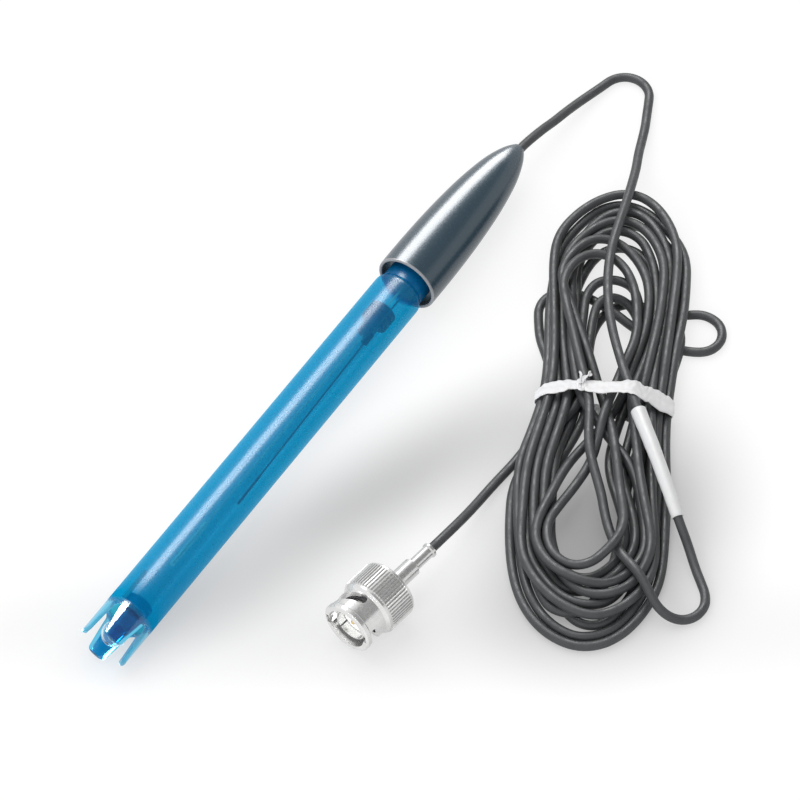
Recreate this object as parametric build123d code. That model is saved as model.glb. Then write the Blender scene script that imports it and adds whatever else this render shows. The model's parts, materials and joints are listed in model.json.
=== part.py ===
from build123d import *
from math import asin, cos, degrees, pi, radians, sin, tan
import os

# Combination pH electrode with a plastic body and a bayonet plug on its cable, in millimetres.
# The electrode lies on a surface at z = 0 along +X, its crown at -X and its cap at +X, with the
# origin under its middle. Sections are drawn as (x, radius) along the piece's own axis.

# Clearances
SEAT_GAP = 0.02  # radial gap where one fixed piece sits in another
RUN_GAP = 0.08  # radial gap where one piece turns or slides on another
BEVEL = 0.3  # the small bevels at open edges
OVERCUT = 1.0  # how far a cutter runs past what it cuts

# Body tube with its crown guard
BODY_R = 6.0
BODY_WALL = 1.5
BODY_LENGTH = 120.0  # finger tips to the rim of the cap
SHOULDER_SETBACK = 2.3  # how far the shoulder stays out of the cap
SHOULDER_LENGTH = 1.8  # length of its rounding
NECK_R = 5.3
NECK_LENGTH = 12.3  # inside the cap
CROWN_WALL = 1.1
CROWN_HOLLOW = 11.5  # depth of the open end round the bulb
BULKHEAD_LENGTH = 8.5  # solid end wall between the crown and the electrolyte
FINGERS = 4
FINGER_TURN = 27.3  # turn of the first finger from the top, towards -Y
SLOT_DEPTH = 9.0
SLOT_ROOT_WIDTH = 2.5
SLOT_MOUTH_WIDTH = 4.9
FINGER_TIP_ROUND = 1.3
FLOOR_CONE = 1.2  # depth of the cone round the stem at the foot of the chamber

# Glass membrane and stem, one blown piece
STEM_R = 2.5
STEM_WALL = 0.6
STEM_SETBACK = 13.1  # top of the stem below the rim of the cap
BULB_R = 2.95
BULB_WALL = 0.35
BULB_AT = 4.3  # centre of the bulb from the finger tips

# Pieces inside the tube
STEM_HOLE_GAP = 0.25
SEAL_WIDTH = 0.8
SEAL_LENGTH = 2.4
SEAL_SETBACK = 0.1
JUNCTION_R = 0.5
JUNCTION_PROUD = 0.2
JUNCTION_TURN = -40.0
STOPPER_R = 3.3
STOPPER_HEAD = 3.6
STOPPER_SHANK = 4.0
STOPPER_WAIST = 0.5
WAIST_HALF = 0.3  # half length of the waist
INNER_WIRE_R = 0.25
INNER_TIP_AT = 26.0
INNER_TIP_LENGTH = 14.0
INNER_TIP_R = 0.6
INNER_TIP_TAPER = 0.6
REF_WIRE_R = 0.2
REF_TIP_R = 0.32
REF_TIP_LENGTH = 9.0
REF_TIP_SETBACK = 72.8  # below the rim of the cap
REF_TIP_TURN = 71.0  # turn about the axis from the top, towards -Y
REF_TOP_TURN = 42.0
REF_OFFSET = 3.5
REF_BEND_R = 6.0
REF_BEND_SETBACK = 2.0  # last bend before the neck's end
REF_END_OFFSET = 0.66  # from the axis, at the cable's screen
BEAD_SETBACK = 6.4  # middle of the bead below the top of the stem
BEAD_R = 0.85
BEAD_LENGTH = 2.8
PLUG_LENGTH = 4.5
PLUG_SETBACK = 0.6  # start of the neck plug below the rim of the cap

# Cap
CAP_LENGTH = 48.0
RIM_R = 7.5
RIM_ROUND = 0.35
MOUTH_WALL = 0.75
MOUTH_DEPTH = 1.9
RIM_SLOPE = 0.012  # how the ogive still widens at its rim
OGIVE_DROPS = ((33.0, 0.15), (20.0, 0.96), (10.0, 2.35), (3.4, 4.25))  # before the nose's end, under RIM_R
CAVITY_R = 4.6
CAVITY_TIP_R = 1.7
CAVITY_STRAIGHT = 5.0
NOSE_WALL = 9.0  # solid length of the nose round the cable
NOSE_LIP = 0.25  # flat ring round the cable's hole
CABLE_BEDDED = 12.0  # length of cable held inside the cap

# Cable
CABLE_R = 1.1
CABLE_HOLE_GAP = 0.05

# Bayonet plug, measured from its mouth along its own axis
PLUG_YAW = -7.5
PLUG_MOUTH = (-51.4, -41.9)
NUT_LENGTH = 14.9
NUT_R = 6.35
NUT_BARREL_R = 6.1
NUT_LIP = 1.2
NUT_BARREL_END = 6.3
COLLAR_R = 6.75
COLLAR_START = 7.0
KNURL_START = 7.7
KNURL_END = 14.1
KNURL_R = 7.15
KNURL_TEETH = 60
KNURL_DEPTH = 0.3
KNURL_CREST = 0.35  # share of a tooth that is its crest
KNURL_ROOT = 0.68  # where its root is
KNURL_SUNK = 0.3  # how far the toothed ring reaches into the nut's wall
NUT_BORE_R = 4.95
NUT_FLANGE_START = 11.0
NUT_FLANGE_WALL = 1.5
RAMP_WIDTH = 2.3
RAMP_START = 2.4
RAMP_END = 5.1
RAMP_TURN = 100.0
LOCK_R = 1.3
LOCK_TURN = 0.0
ENTRY_DEPTH = 0.75
RAMPS = 2
SHANK_R = 3.6
BODY_FLANGE_R = 4.62
BODY_FLANGE_START = 7.0
BODY_FLANGE_END = 9.2
SHANK_END = 14.5
SHANK_BEVEL = 0.5
STUB_R = 1.55
STUB_END = 20.0
CONTACT_R = 4.05
CONTACT_WALL = 0.4
CONTACT_FRONT = 1.2
CONTACT_BEVEL = 0.15
CONTACT_STEP = 5.5
CONTACT_SEATED_R = 3.9
CONTACT_SLOTS = 4
CONTACT_SLOT_WIDTH = 0.4
CONTACT_SLOT_LENGTH = 3.6
CONTACT_TURN = 45.0  # turn of its first slot
GASKET_LENGTH = 1.3
INSULATOR_FRONT = 3.2
INSULATOR_REAR_R = 2.0
INSULATOR_REAR = 13.4
INSULATOR_STEP = 9.3
PIN_R = 0.68
PIN_FRONT = 1.9
PIN_REAR = 15.4
WAVES = 3
WAVE_HEIGHT = 1.1
WAVE_THICKNESS = 0.22
WAVE_SECTIONS = 12  # for each half turn
WAVE_SETBACK = 0.1  # of its edge from the flange's
THRUST_THICKNESS = 0.4
RETAINER_START = 12.6
RETAINER_THICKNESS = 0.6
RETAINER_R = 4.5
RETAINER_GROOVE = 0.5
RETAINER_GAP = 1.6
NUT_REAR_BORE_R = 5.7
NUT_REAR_STEP = 0.25
FERRULE_R = 2.15
FERRULE_END = 22.5
TAIL_R = 1.5
TAIL_END = 27.3
RING_R = 1.8
RING_LENGTH = 1.1
CRIMP_ROOM = 0.6  # from the stub to the cable's end inside the ferrule
CRIMP_STEP = 0.5

# Hank of folded cable, measured along and across from its tie
TIE_AT = (35.4, -54.0)
HANK_YAW = 28.7
HANK_THICKNESS = 5.4
HANK_LIFT = 0.5  # how far the waist stands off the surface, over the tie
HANK_ROUND = 1.8
WAIST = (0.0, -0.1, 13.7)  # the rounds are along, across and radius
UPPER_ROUNDS = ((49.4, -1.8, 11.8), (32.0, -1.3, 15.8))
LOWER_ROUNDS = ((-33.0, 1.8, 17.0), (-57.0, -1.2, 12.4))
HANK_OPENINGS = ((5.0, 24.0, 1.6, 3.4), (-44.0, -14.0, 4.4, 4.4))  # from, to, middle, half width

# Tie and marker sleeve
TIE_WIDTH = 2.7
TIE_THICKNESS = 0.4
TIE_SLACK = 0.05
TIE_TAIL_AT = (1.0, 4.0)  # foot of the twisted tail on top of the tie
TIE_TAIL_REACH = (3.2, 3.6, 0.8)  # from its foot to its end
TIE_TAIL_WIDTH = 2.2
TIE_TAIL_TAPER = 0.1  # share of the width lost from one section to the next
TIE_TAIL_TWIST = 60.0  # turn from one section of the tail to the next
TIE_TAIL_STEPS = 4
SLEEVE_LENGTH = 29.5
SLEEVE_R = 1.75
SLEEVE_GAP = 0.03
SLEEVE_SHARE = 0.54  # place of its middle on its run over the hank

# The cable's route from the cap to the hank, chosen by hand; the sleeve sits between two of its corners
SLEEVE_FROM = (41.3, -56.3, 7.4)
SLEEVE_TO = (12.6, -89.7, 3.8)
LEAD_POINTS = (
    (99.7, -0.5, 4.4), (110.3, -0.8, 2.2), (117.6, -2.4, 1.25), (121.4, -6.6, 1.1), (122.2, -12.3, 1.1),
    (119.6, -17.6, 1.1), (110.2, -21.4, 1.1), (98.6, -25.1, 1.8), (87.0, -28.6, 5.2), (76.8, -31.6, 7.0),
    (67.3, -35.3, 7.2), (56.2, -42.0, 7.2), SLEEVE_FROM, SLEEVE_TO, (7.4, -95.6, 1.8),
    (1.9, -100.9, 1.15), (-4.3, -101.6, 1.1), (-9.2, -97.8, 1.1), (-10.5, -91.9, 1.1), (-7.6, -85.6, 2.0),
)
LEAD_STRAIGHT = 4.0  # straight part of the cable outside the nose

# The route from the plug to the hank: the first part lies on the plug's axis
TAIL_STRAIGHT = 6.6  # from the ferrule to the first corner
TAIL_POINTS = ((-7.1, -45.9, 3.7), (3.1, -45.3, 1.3), (12.4, -46.0, 1.1), (21.3, -46.1, 1.8))

# The places that follow from the sizes above
ALL_LENGTH = BODY_LENGTH + CAP_LENGTH
STEM_TOP = BODY_LENGTH - STEM_SETBACK
REF_TIP_AT = BODY_LENGTH - REF_TIP_SETBACK
BEAD_AT = STEM_TOP - BEAD_SETBACK
REST_TILT = degrees(asin((RIM_R - BODY_R) / BODY_LENGTH))
SHOULDER_AT = BODY_LENGTH - SHOULDER_SETBACK
NECK_END = BODY_LENGTH + NECK_LENGTH
BORE_R = BODY_R - BODY_WALL
CROWN_BORE_R = BODY_R - CROWN_WALL
CHAMBER_FLOOR = CROWN_HOLLOW + BULKHEAD_LENGTH
CABLE_START = ALL_LENGTH - CABLE_BEDDED
PLUG_START = BODY_LENGTH - PLUG_SETBACK

LYING = Pos(-ALL_LENGTH / 2, 0, BODY_R) * Rot(0, -REST_TILT, 0)
CONNECTOR = Pos(PLUG_MOUTH[0], PLUG_MOUTH[1], KNURL_R) * Rot(0, 0, PLUG_YAW)
HANK = Pos(TIE_AT[0], TIE_AT[1], 0) * Rot(0, 0, HANK_YAW)


def point_at(place, *local):
    """The point that a piece's own coordinates have in the whole part."""
    return (place * Pos(*local)).position


def turned(*outline):
    """A solid of revolution about the X axis from its closed (x, radius) outline."""
    return revolve(make_face(Polyline(*outline, close=True)), Axis.X)


def ring(start, end, inner, outer):
    """A plain ring about the X axis."""
    return turned((start, inner), (end, inner), (end, outer), (start, outer))


def rod(start, end, radius, offset=0.0, turn=0.0):
    """A round rod along X, set off from the axis and turned about it from the top towards -Y."""
    along = Pos(start, 0, 0) * Rot(0, 90, 0) * extrude(Circle(radius), end - start)
    return Rot(turn, 0, 0) * Pos(0, 0, offset) * along


# Electrode


def crown_slot():
    """The cutter of one slot: narrow and round at its root, wide at the finger tips."""
    root = SLOT_ROOT_WIDTH / 2
    mouth = SLOT_MOUTH_WIDTH / 2
    root_x = SLOT_DEPTH - root
    outer = mouth + FINGER_TIP_ROUND * 1.5
    side = make_face(
        Polyline(
            (-OVERCUT, outer), (0, outer), (0, mouth), (root_x, root),
            (root_x, -root), (0, -mouth), (0, -outer), (-OVERCUT, -outer), close=True,
        )
    )
    tips = side.vertices().filter_by(lambda v: abs(v.X) < 0.01 and abs(abs(v.Y) - mouth) < 0.01)
    outline = fillet(tips, FINGER_TIP_ROUND) + Pos(root_x, 0) * Circle(root)
    return extrude(outline, BODY_R + OVERCUT)


def body_tube():
    """The moulded tube: crown fingers, bulkhead, electrolyte chamber, shoulder and neck."""
    hole = STEM_R + STEM_HOLE_GAP
    seal = STEM_R + SEAL_WIDTH
    shoulder_start = SHOULDER_AT - SHOULDER_LENGTH
    inside = Polyline(
        (NECK_END, NECK_R), (NECK_END, BORE_R), (CHAMBER_FLOOR, BORE_R), (CHAMBER_FLOOR - FLOOR_CONE, hole),
        (CROWN_HOLLOW + SEAL_LENGTH, hole), (CROWN_HOLLOW + SEAL_LENGTH, seal), (CROWN_HOLLOW, seal),
        (CROWN_HOLLOW, CROWN_BORE_R), (0, CROWN_BORE_R), (0, BODY_R - BEVEL), (BEVEL, BODY_R),
        (shoulder_start, BODY_R),
    )
    shoulder = TangentArc((shoulder_start, BODY_R), (SHOULDER_AT, NECK_R), tangent=(1, 0))
    neck = Line((SHOULDER_AT, NECK_R), (NECK_END, NECK_R))
    tube = revolve(make_face(inside + shoulder + neck), Axis.X)
    pitch = 360 / FINGERS
    slots = [Rot(FINGER_TURN + pitch * (k + 0.5), 0, 0) * crown_slot() for k in range(FINGERS)]
    hole_r = JUNCTION_R + SEAT_GAP
    junction = rod(CROWN_HOLLOW - OVERCUT, CHAMBER_FLOOR, hole_r, junction_offset(), JUNCTION_TURN)
    return tube - slots - junction


def junction_offset():
    """The junction stands midway between the seal and the wall of the chamber."""
    return (STEM_R + SEAL_WIDTH + BORE_R) / 2


def glass_stem():
    """The pH membrane bulb and its stem, blown as one piece."""
    inner_r = BULB_R - BULB_WALL
    bore = STEM_R - STEM_WALL
    join = BULB_AT + (BULB_R**2 - STEM_R**2) ** 0.5
    inner_join = BULB_AT + (inner_r**2 - bore**2) ** 0.5
    outline = (
        ThreePointArc((BULB_AT - BULB_R, 0), (BULB_AT, BULB_R), (join, STEM_R))
        + Polyline((join, STEM_R), (STEM_TOP, STEM_R), (STEM_TOP, bore), (inner_join, bore))
        + ThreePointArc((inner_join, bore), (BULB_AT, inner_r), (BULB_AT - inner_r, 0))
        + Line((BULB_AT - inner_r, 0), (BULB_AT - BULB_R, 0))
    )
    return revolve(make_face(outline), Axis.X)


def stem_seal():
    """The rubber ring that holds the stem in the bulkhead and keeps the sample out."""
    start = CROWN_HOLLOW + SEAL_SETBACK
    return ring(start, CROWN_HOLLOW + SEAL_LENGTH, STEM_R + SEAT_GAP, STEM_R + SEAL_WIDTH - SEAT_GAP)


def reference_junction():
    """The porous rod through which the reference electrolyte meets the sample."""
    return rod(CROWN_HOLLOW - JUNCTION_PROUD, CHAMBER_FLOOR, JUNCTION_R, junction_offset(), JUNCTION_TURN)


def stem_stopper():
    """The stopper that closes the stem, with a waist between the two halves of its head."""
    bore = INNER_WIRE_R + SEAT_GAP
    shank = STEM_R - STEM_WALL - SEAT_GAP
    middle = STEM_TOP + STOPPER_HEAD / 2
    top = STEM_TOP + STOPPER_HEAD
    return turned(
        (STEM_TOP - STOPPER_SHANK, bore), (top, bore), (top, STOPPER_R), (middle + WAIST_HALF, STOPPER_R),
        (middle, STOPPER_R - STOPPER_WAIST), (middle - WAIST_HALF, STOPPER_R), (STEM_TOP, STOPPER_R),
        (STEM_TOP, shank), (STEM_TOP - STOPPER_SHANK, shank),
    )


def inner_wire():
    """The silver wire of the measuring side with its coated tip, up to the core of the cable."""
    tip_end = INNER_TIP_AT + INNER_TIP_LENGTH
    return turned(
        (INNER_TIP_AT, 0), (INNER_TIP_AT, INNER_TIP_R - BEVEL), (INNER_TIP_AT + BEVEL, INNER_TIP_R),
        (tip_end - INNER_TIP_TAPER, INNER_TIP_R), (tip_end, INNER_WIRE_R), (CABLE_START, INNER_WIRE_R),
        (CABLE_START, 0),
    )


def around(x, offset, turn):
    """A point set off from the axis and turned about it from the top towards -Y."""
    return (x, -offset * sin(radians(turn)), offset * cos(radians(turn)))


def reference_route():
    """The corners of the reference wire, from its tip to the cable."""
    return [
        around(REF_TIP_AT, REF_OFFSET, REF_TIP_TURN),
        around(STEM_TOP, REF_OFFSET, REF_TOP_TURN),
        around(NECK_END - REF_BEND_SETBACK, REF_OFFSET, REF_TOP_TURN),
        around(CABLE_START, REF_END_OFFSET, REF_TOP_TURN),
    ]


def along_route(route, start, end):
    """The points of the first run of a route at two places along X."""
    a, b = Vector(route[0]), Vector(route[1])
    return [a + (b - a) * ((x - a.X) / (b.X - a.X)) for x in (start, end)]


def swept(path, *radii):
    """A round section, or a ring of two radii, swept along a path."""
    start = Plane(origin=path @ 0, z_dir=path % 0)
    section = start * Circle(radii[0])
    if len(radii) == 2:
        section = section - start * Circle(radii[1])
    return sweep(section, path)


def reference_wire(gap=0.0):
    """The silver wire of the reference side with its coated tip."""
    route = reference_route()
    wire = swept(FilletPolyline(*route, radius=[REF_BEND_R, REF_BEND_R]), REF_WIRE_R + gap)
    tip = swept(Line(*along_route(route, REF_TIP_AT, REF_TIP_AT + REF_TIP_LENGTH)), REF_TIP_R + gap)
    return wire + tip


def wire_bead():
    """The bead that keeps the reference wire off the glass."""
    route = reference_route()
    path = Line(*along_route(route, BEAD_AT - BEAD_LENGTH / 2, BEAD_AT + BEAD_LENGTH / 2))
    return swept(path, BEAD_R, REF_WIRE_R + SEAT_GAP)


def neck_plug():
    """The rubber plug that closes the electrolyte chamber in the neck."""
    plug = ring(PLUG_START, PLUG_START + PLUG_LENGTH, INNER_WIRE_R + SEAT_GAP, BORE_R - SEAT_GAP)
    return plug - reference_wire(SEAT_GAP)


def cavity_line(gap):
    """Corners of the cap's inner cavity, drawn in by a gap."""
    return [
        (NECK_END + gap, CAVITY_R - gap),
        (NECK_END + CAVITY_STRAIGHT, CAVITY_R - gap),
        (ALL_LENGTH - NOSE_WALL - gap, CAVITY_TIP_R - gap),
    ]


def potting():
    """The resin that fills the cap behind the neck and holds the wires and the cable's end."""
    fill = turned((NECK_END + SEAT_GAP, 0), *cavity_line(SEAT_GAP), (ALL_LENGTH - NOSE_WALL - SEAT_GAP, 0))
    cable = rod(CABLE_START - SEAT_GAP, ALL_LENGTH, CABLE_R + SEAT_GAP)
    core = rod(NECK_END, CABLE_START, INNER_WIRE_R + SEAT_GAP)
    return fill - cable - core - reference_wire(SEAT_GAP)


def ogive():
    """The cap's outside from its rim to the ring round the cable's hole, as arcs that run into each other."""
    start = (BODY_LENGTH + RIM_ROUND, RIM_R)
    nose = (ALL_LENGTH, CABLE_R + CABLE_HOLE_GAP + NOSE_LIP)
    heading = Vector(1, RIM_SLOPE)
    arcs = []
    for end in [(ALL_LENGTH - back, RIM_R - drop) for back, drop in OGIVE_DROPS] + [nose]:
        arcs.append(TangentArc(start, end, tangent=heading))
        start = end
        heading = arcs[-1] % 1
    return arcs


def cap():
    """The moulded cap: a long ogive with a thin rim that stands round the neck."""
    hole = CABLE_R + CABLE_HOLE_GAP
    mouth = RIM_R - MOUTH_WALL
    socket = NECK_R + SEAT_GAP
    mouth_floor = BODY_LENGTH + MOUTH_DEPTH
    rim_end = BODY_LENGTH + RIM_ROUND
    inside = Polyline(
        (ALL_LENGTH, hole + NOSE_LIP), (ALL_LENGTH, hole), (ALL_LENGTH - NOSE_WALL, hole),
        *reversed(cavity_line(0)),
        (NECK_END, socket), (mouth_floor, socket), (mouth_floor, mouth), (rim_end, mouth),
    )
    rim = ThreePointArc((rim_end, mouth), (BODY_LENGTH, mouth + MOUTH_WALL / 2), (rim_end, RIM_R))
    return revolve(make_face([*ogive(), *inside.edges(), rim]), Axis.X)


# Bayonet plug


def ramp_cutter():
    """One bayonet slot: an inner entry groove, a ramp along a helix and a round hole that locks."""
    height = RAMP_END - RAMP_START
    mid_r = (NUT_BORE_R + NUT_R) / 2
    pitch = height * 360 / RAMP_TURN
    ramp = Helix(pitch, height, mid_r, center=(0, 0, 0), direction=(0, 0, 1))
    start = Plane(origin=ramp @ 0, x_dir=(1, 0, 0), z_dir=ramp % 0)
    slot = sweep(start * Rectangle(NUT_R, RAMP_WIDTH), ramp, is_frenet=True)
    lock = Rot(0, 0, RAMP_TURN) * Pos(mid_r, 0, height) * Rot(0, 90, 0) * Cylinder(LOCK_R, NUT_R)
    toe = Pos(mid_r, 0, 0) * Rot(0, 90, 0) * Cylinder(RAMP_WIDTH / 2, NUT_R)
    reach = RAMP_START + OVERCUT
    groove = Pos(NUT_BORE_R, 0, -reach / 2) * Box(2 * ENTRY_DEPTH, RAMP_WIDTH, reach)
    upright = Rot(0, 0, -RAMP_TURN) * (slot + lock + toe + groove)
    return Pos(RAMP_START, 0, 0) * Rot(LOCK_TURN, 0, 0) * Rot(0, 90, 0) * Rot(0, 0, 180) * upright


def knurl_ring():
    """The finely toothed grip of the nut."""
    step = 2 * pi / KNURL_TEETH
    corners = []
    for k in range(KNURL_TEETH):
        for part, radius in ((0.0, KNURL_R), (KNURL_CREST, KNURL_R), (KNURL_ROOT, KNURL_R - KNURL_DEPTH)):
            angle = step * (k + part)
            corners.append((radius * cos(angle), radius * sin(angle)))
    section = make_face(Polyline(*corners, close=True))
    return Pos(KNURL_START, 0, 0) * Rot(0, 90, 0) * extrude(section, KNURL_END - KNURL_START)


def coupling_nut():
    """The bayonet nut: lip, barrel with two ramps, collar, knurled grip and an inner flange."""
    flange_end = NUT_FLANGE_START + NUT_FLANGE_WALL
    flange_bore = SHANK_R + RUN_GAP
    rear_r = KNURL_R - NUT_REAR_STEP
    shell = turned(
        (0.0, NUT_BORE_R), (0.0, NUT_R - BEVEL), (BEVEL, NUT_R), (NUT_LIP, NUT_R),
        (NUT_LIP + BEVEL, NUT_BARREL_R), (NUT_BARREL_END, NUT_BARREL_R),
        (COLLAR_START, COLLAR_R), (KNURL_START, COLLAR_R),
        (KNURL_START, KNURL_R - KNURL_DEPTH), (KNURL_END, KNURL_R - KNURL_DEPTH), (KNURL_END, rear_r),
        (NUT_LENGTH - BEVEL, rear_r), (NUT_LENGTH, rear_r - BEVEL), (NUT_LENGTH, NUT_REAR_BORE_R),
        (flange_end, NUT_REAR_BORE_R), (flange_end, flange_bore), (NUT_FLANGE_START, flange_bore),
        (NUT_FLANGE_START, NUT_BORE_R),
    )
    grip = knurl_ring() - rod(0, NUT_LENGTH, KNURL_R - KNURL_DEPTH - KNURL_SUNK)
    ramps = [Rot(360 / RAMPS * k, 0, 0) * ramp_cutter() for k in range(RAMPS)]
    return shell + grip - ramps


def connector_body():
    """The plug's body: a flange that holds the contact, a shank for the nut and a stub for the ferrule."""
    groove_r = SHANK_R - RETAINER_GROOVE
    groove_end = RETAINER_START + RETAINER_THICKNESS
    seat = CONTACT_SEATED_R + SEAT_GAP
    rear_bore = INSULATOR_REAR_R + SEAT_GAP
    core_bore = PIN_R + SEAT_GAP
    return turned(
        (BODY_FLANGE_START, seat), (BODY_FLANGE_START, BODY_FLANGE_R), (BODY_FLANGE_END, BODY_FLANGE_R),
        (BODY_FLANGE_END, SHANK_R), (RETAINER_START, SHANK_R), (RETAINER_START, groove_r),
        (groove_end, groove_r), (groove_end, SHANK_R), (SHANK_END - SHANK_BEVEL, SHANK_R),
        (SHANK_END, SHANK_R - SHANK_BEVEL), (SHANK_END, STUB_R), (STUB_END, STUB_R), (STUB_END, core_bore),
        (INSULATOR_REAR, core_bore), (INSULATOR_REAR, rear_bore), (INSULATOR_STEP, rear_bore),
        (INSULATOR_STEP, seat),
    )


def outer_contact():
    """The slotted sleeve of the outer contact, thinner where the gasket and the body hold it."""
    bore = CONTACT_R - CONTACT_WALL
    end = INSULATOR_STEP - SEAT_GAP
    sleeve = turned(
        (CONTACT_FRONT, bore), (CONTACT_FRONT, CONTACT_R - CONTACT_BEVEL),
        (CONTACT_FRONT + CONTACT_BEVEL, CONTACT_R), (CONTACT_STEP, CONTACT_R),
        (CONTACT_STEP, CONTACT_SEATED_R), (end, CONTACT_SEATED_R), (end, bore),
    )
    cutter = Box(2 * CONTACT_SLOT_LENGTH, CONTACT_SLOT_WIDTH, 2 * CONTACT_R)
    cutter = Pos(CONTACT_FRONT, 0, CONTACT_R) * cutter
    slots = [Rot(CONTACT_TURN + 360 / CONTACT_SLOTS * k, 0, 0) * cutter for k in range(CONTACT_SLOTS)]
    return sleeve - slots


def insulator():
    """The white insulator that carries the pin."""
    front_r = CONTACT_R - CONTACT_WALL - SEAT_GAP
    bore = PIN_R + SEAT_GAP
    step = INSULATOR_STEP - SEAT_GAP
    rear = INSULATOR_REAR - SEAT_GAP
    return turned(
        (INSULATOR_FRONT, bore), (INSULATOR_FRONT, front_r - BEVEL), (INSULATOR_FRONT + BEVEL, front_r),
        (step, front_r), (step, INSULATOR_REAR_R), (rear, INSULATOR_REAR_R), (rear, bore),
    )


def centre_pin():
    """The gilt pin, with a rounded tip."""
    straight = PIN_FRONT + PIN_R
    nose = TangentArc((straight, PIN_R), (PIN_FRONT, 0), tangent=(-1, 0))
    shaft = Polyline((straight, PIN_R), (PIN_REAR, PIN_R), (PIN_REAR, 0), (PIN_FRONT, 0))
    return revolve(make_face(nose + shaft), Axis.X)


def gasket():
    """The soft ring in front of the body's flange."""
    end = BODY_FLANGE_START - SEAT_GAP
    return ring(end - GASKET_LENGTH, end, CONTACT_SEATED_R + SEAT_GAP, BODY_FLANGE_R)


def wave_washer():
    """The wavy spring washer that pushes the nut back, lofted in two half turns."""
    room = NUT_FLANGE_START - THRUST_THICKNESS - BODY_FLANGE_END - 2 * SEAT_GAP
    middle = BODY_FLANGE_END + SEAT_GAP + room / 2
    swing = min(WAVE_HEIGHT, room - WAVE_THICKNESS - SEAT_GAP) / 2
    inner, outer = SHANK_R + 2 * SEAT_GAP, BODY_FLANGE_R - WAVE_SETBACK
    strip = Plane.XZ * Rectangle(WAVE_THICKNESS, outer - inner)
    sections = []
    for k in range(2 * WAVE_SECTIONS + 1):
        angle = 180 / WAVE_SECTIONS * k
        shift = middle + swing * cos(radians(WAVES * angle))
        sections.append(Rot(angle, 0, 0) * Pos(shift, 0, (inner + outer) / 2) * strip)
    halves = sections[: WAVE_SECTIONS + 1], sections[WAVE_SECTIONS:]
    return loft(halves[0], ruled=True) + loft(halves[1], ruled=True)


def thrust_washer():
    """The flat washer between the spring and the nut's inner flange."""
    end = NUT_FLANGE_START - SEAT_GAP
    return ring(end - THRUST_THICKNESS + SEAT_GAP, end, SHANK_R + RUN_GAP, BODY_FLANGE_R)


def retaining_ring():
    """The open ring that snaps into the shank's groove and stops the nut."""
    start = RETAINER_START + SEAT_GAP
    end = RETAINER_START + RETAINER_THICKNESS - SEAT_GAP
    whole = ring(start, end, SHANK_R - RETAINER_GROOVE + SEAT_GAP, RETAINER_R)
    opening = Box(2 * RETAINER_THICKNESS, RETAINER_GAP, 2 * RETAINER_R)
    opening = Pos((start + end) / 2, 0, -RETAINER_R) * opening
    return whole - opening


def crimp_ferrule():
    """The crimped sleeve: wide on the stub, pressed narrow on the cable, with a bead at its end."""
    wide = STUB_R + SEAT_GAP
    narrow = CABLE_R + SEAT_GAP
    start = SHANK_END + SEAT_GAP
    end = TAIL_END + RING_LENGTH
    return turned(
        (start, wide), (start, FERRULE_R), (FERRULE_END - CRIMP_STEP, FERRULE_R), (FERRULE_END, TAIL_R),
        (TAIL_END, TAIL_R), (TAIL_END + BEVEL, RING_R), (end - BEVEL, RING_R), (end, RING_R - BEVEL),
        (end, narrow), (STUB_END + CRIMP_ROOM, narrow), (STUB_END + SEAT_GAP, wide),
    )


# Cable


def lead_route():
    """The corners of the cable from inside the cap over the hank and round into it."""
    nose = [point_at(LYING, x, 0, 0) for x in (CABLE_START, ALL_LENGTH + LEAD_STRAIGHT)]
    return nose + list(LEAD_POINTS)


def tail_route():
    """The corners of the cable from inside the ferrule down to the surface and into the hank."""
    ferrule_end = TAIL_END + RING_LENGTH
    axis = [point_at(CONNECTOR, x, 0, 0) for x in (STUB_END + CRIMP_ROOM, ferrule_end + TAIL_STRAIGHT)]
    return axis + list(TAIL_POINTS)


def smooth_path(points):
    """Straight runs joined by arcs as large as the shorter run allows, and the radii of the arcs."""
    corners = [Vector(p) for p in points]
    radii = []
    for before, here, after in zip(corners, corners[1:], corners[2:]):
        run = min((here - before).length, (after - here).length)
        half_turn = radians((here - before).get_angle(after - here)) / 2
        radii.append(0.45 * run / tan(half_turn))
    return FilletPolyline(*corners, radius=radii), radii


def cable(points, name):
    """A cable tube along a route, with its radii, length and volume printed."""
    path, radii = smooth_path(points)
    tube = swept(path, CABLE_R)
    ratio = tube.volume / (pi * CABLE_R**2 * path.length)
    print(name, "length", round(path.length, 1), "least radius", round(min(radii), 1))
    print(name, "volume against section times length", round(ratio, 4))
    return tube


def hull_of(rounds):
    """The face inside a tight band round some circles."""
    circles = [(Pos(x, y) * Circle(r)).edge() for x, y, r in rounds]
    return make_hull(circles)


def cord_hank():
    """The folded turns as one closed body: two lobes, each with an opening, and a tied waist."""
    plan = hull_of([*UPPER_ROUNDS, WAIST]) + hull_of([*LOWER_ROUNDS, WAIST])
    slab = extrude(plan, HANK_THICKNESS)
    slab = fillet(slab.edges().group_by(Axis.Z)[-1], HANK_ROUND)
    for start, end, middle, half in HANK_OPENINGS:
        left, right = (start, middle), (end, middle)
        lens = ThreePointArc(left, ((start + end) / 2, middle + half), right)
        lens += ThreePointArc(right, ((start + end) / 2, middle - half), left)
        slab -= extrude(make_face(lens), HANK_THICKNESS)
    waist = Box(2 * TIE_WIDTH, 4 * WAIST[2], 2 * HANK_LIFT)
    return HANK * (slab - waist)


def marker_sleeve():
    """The white sleeve pushed over the cable on its straight run over the hank."""
    start, end = Vector(SLEEVE_FROM), Vector(SLEEVE_TO)
    middle = start + (end - start) * SLEEVE_SHARE
    half = (end - start).normalized() * (SLEEVE_LENGTH / 2)
    return swept(Line(middle - half, middle + half), SLEEVE_R, CABLE_R + SLEEVE_GAP)


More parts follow.
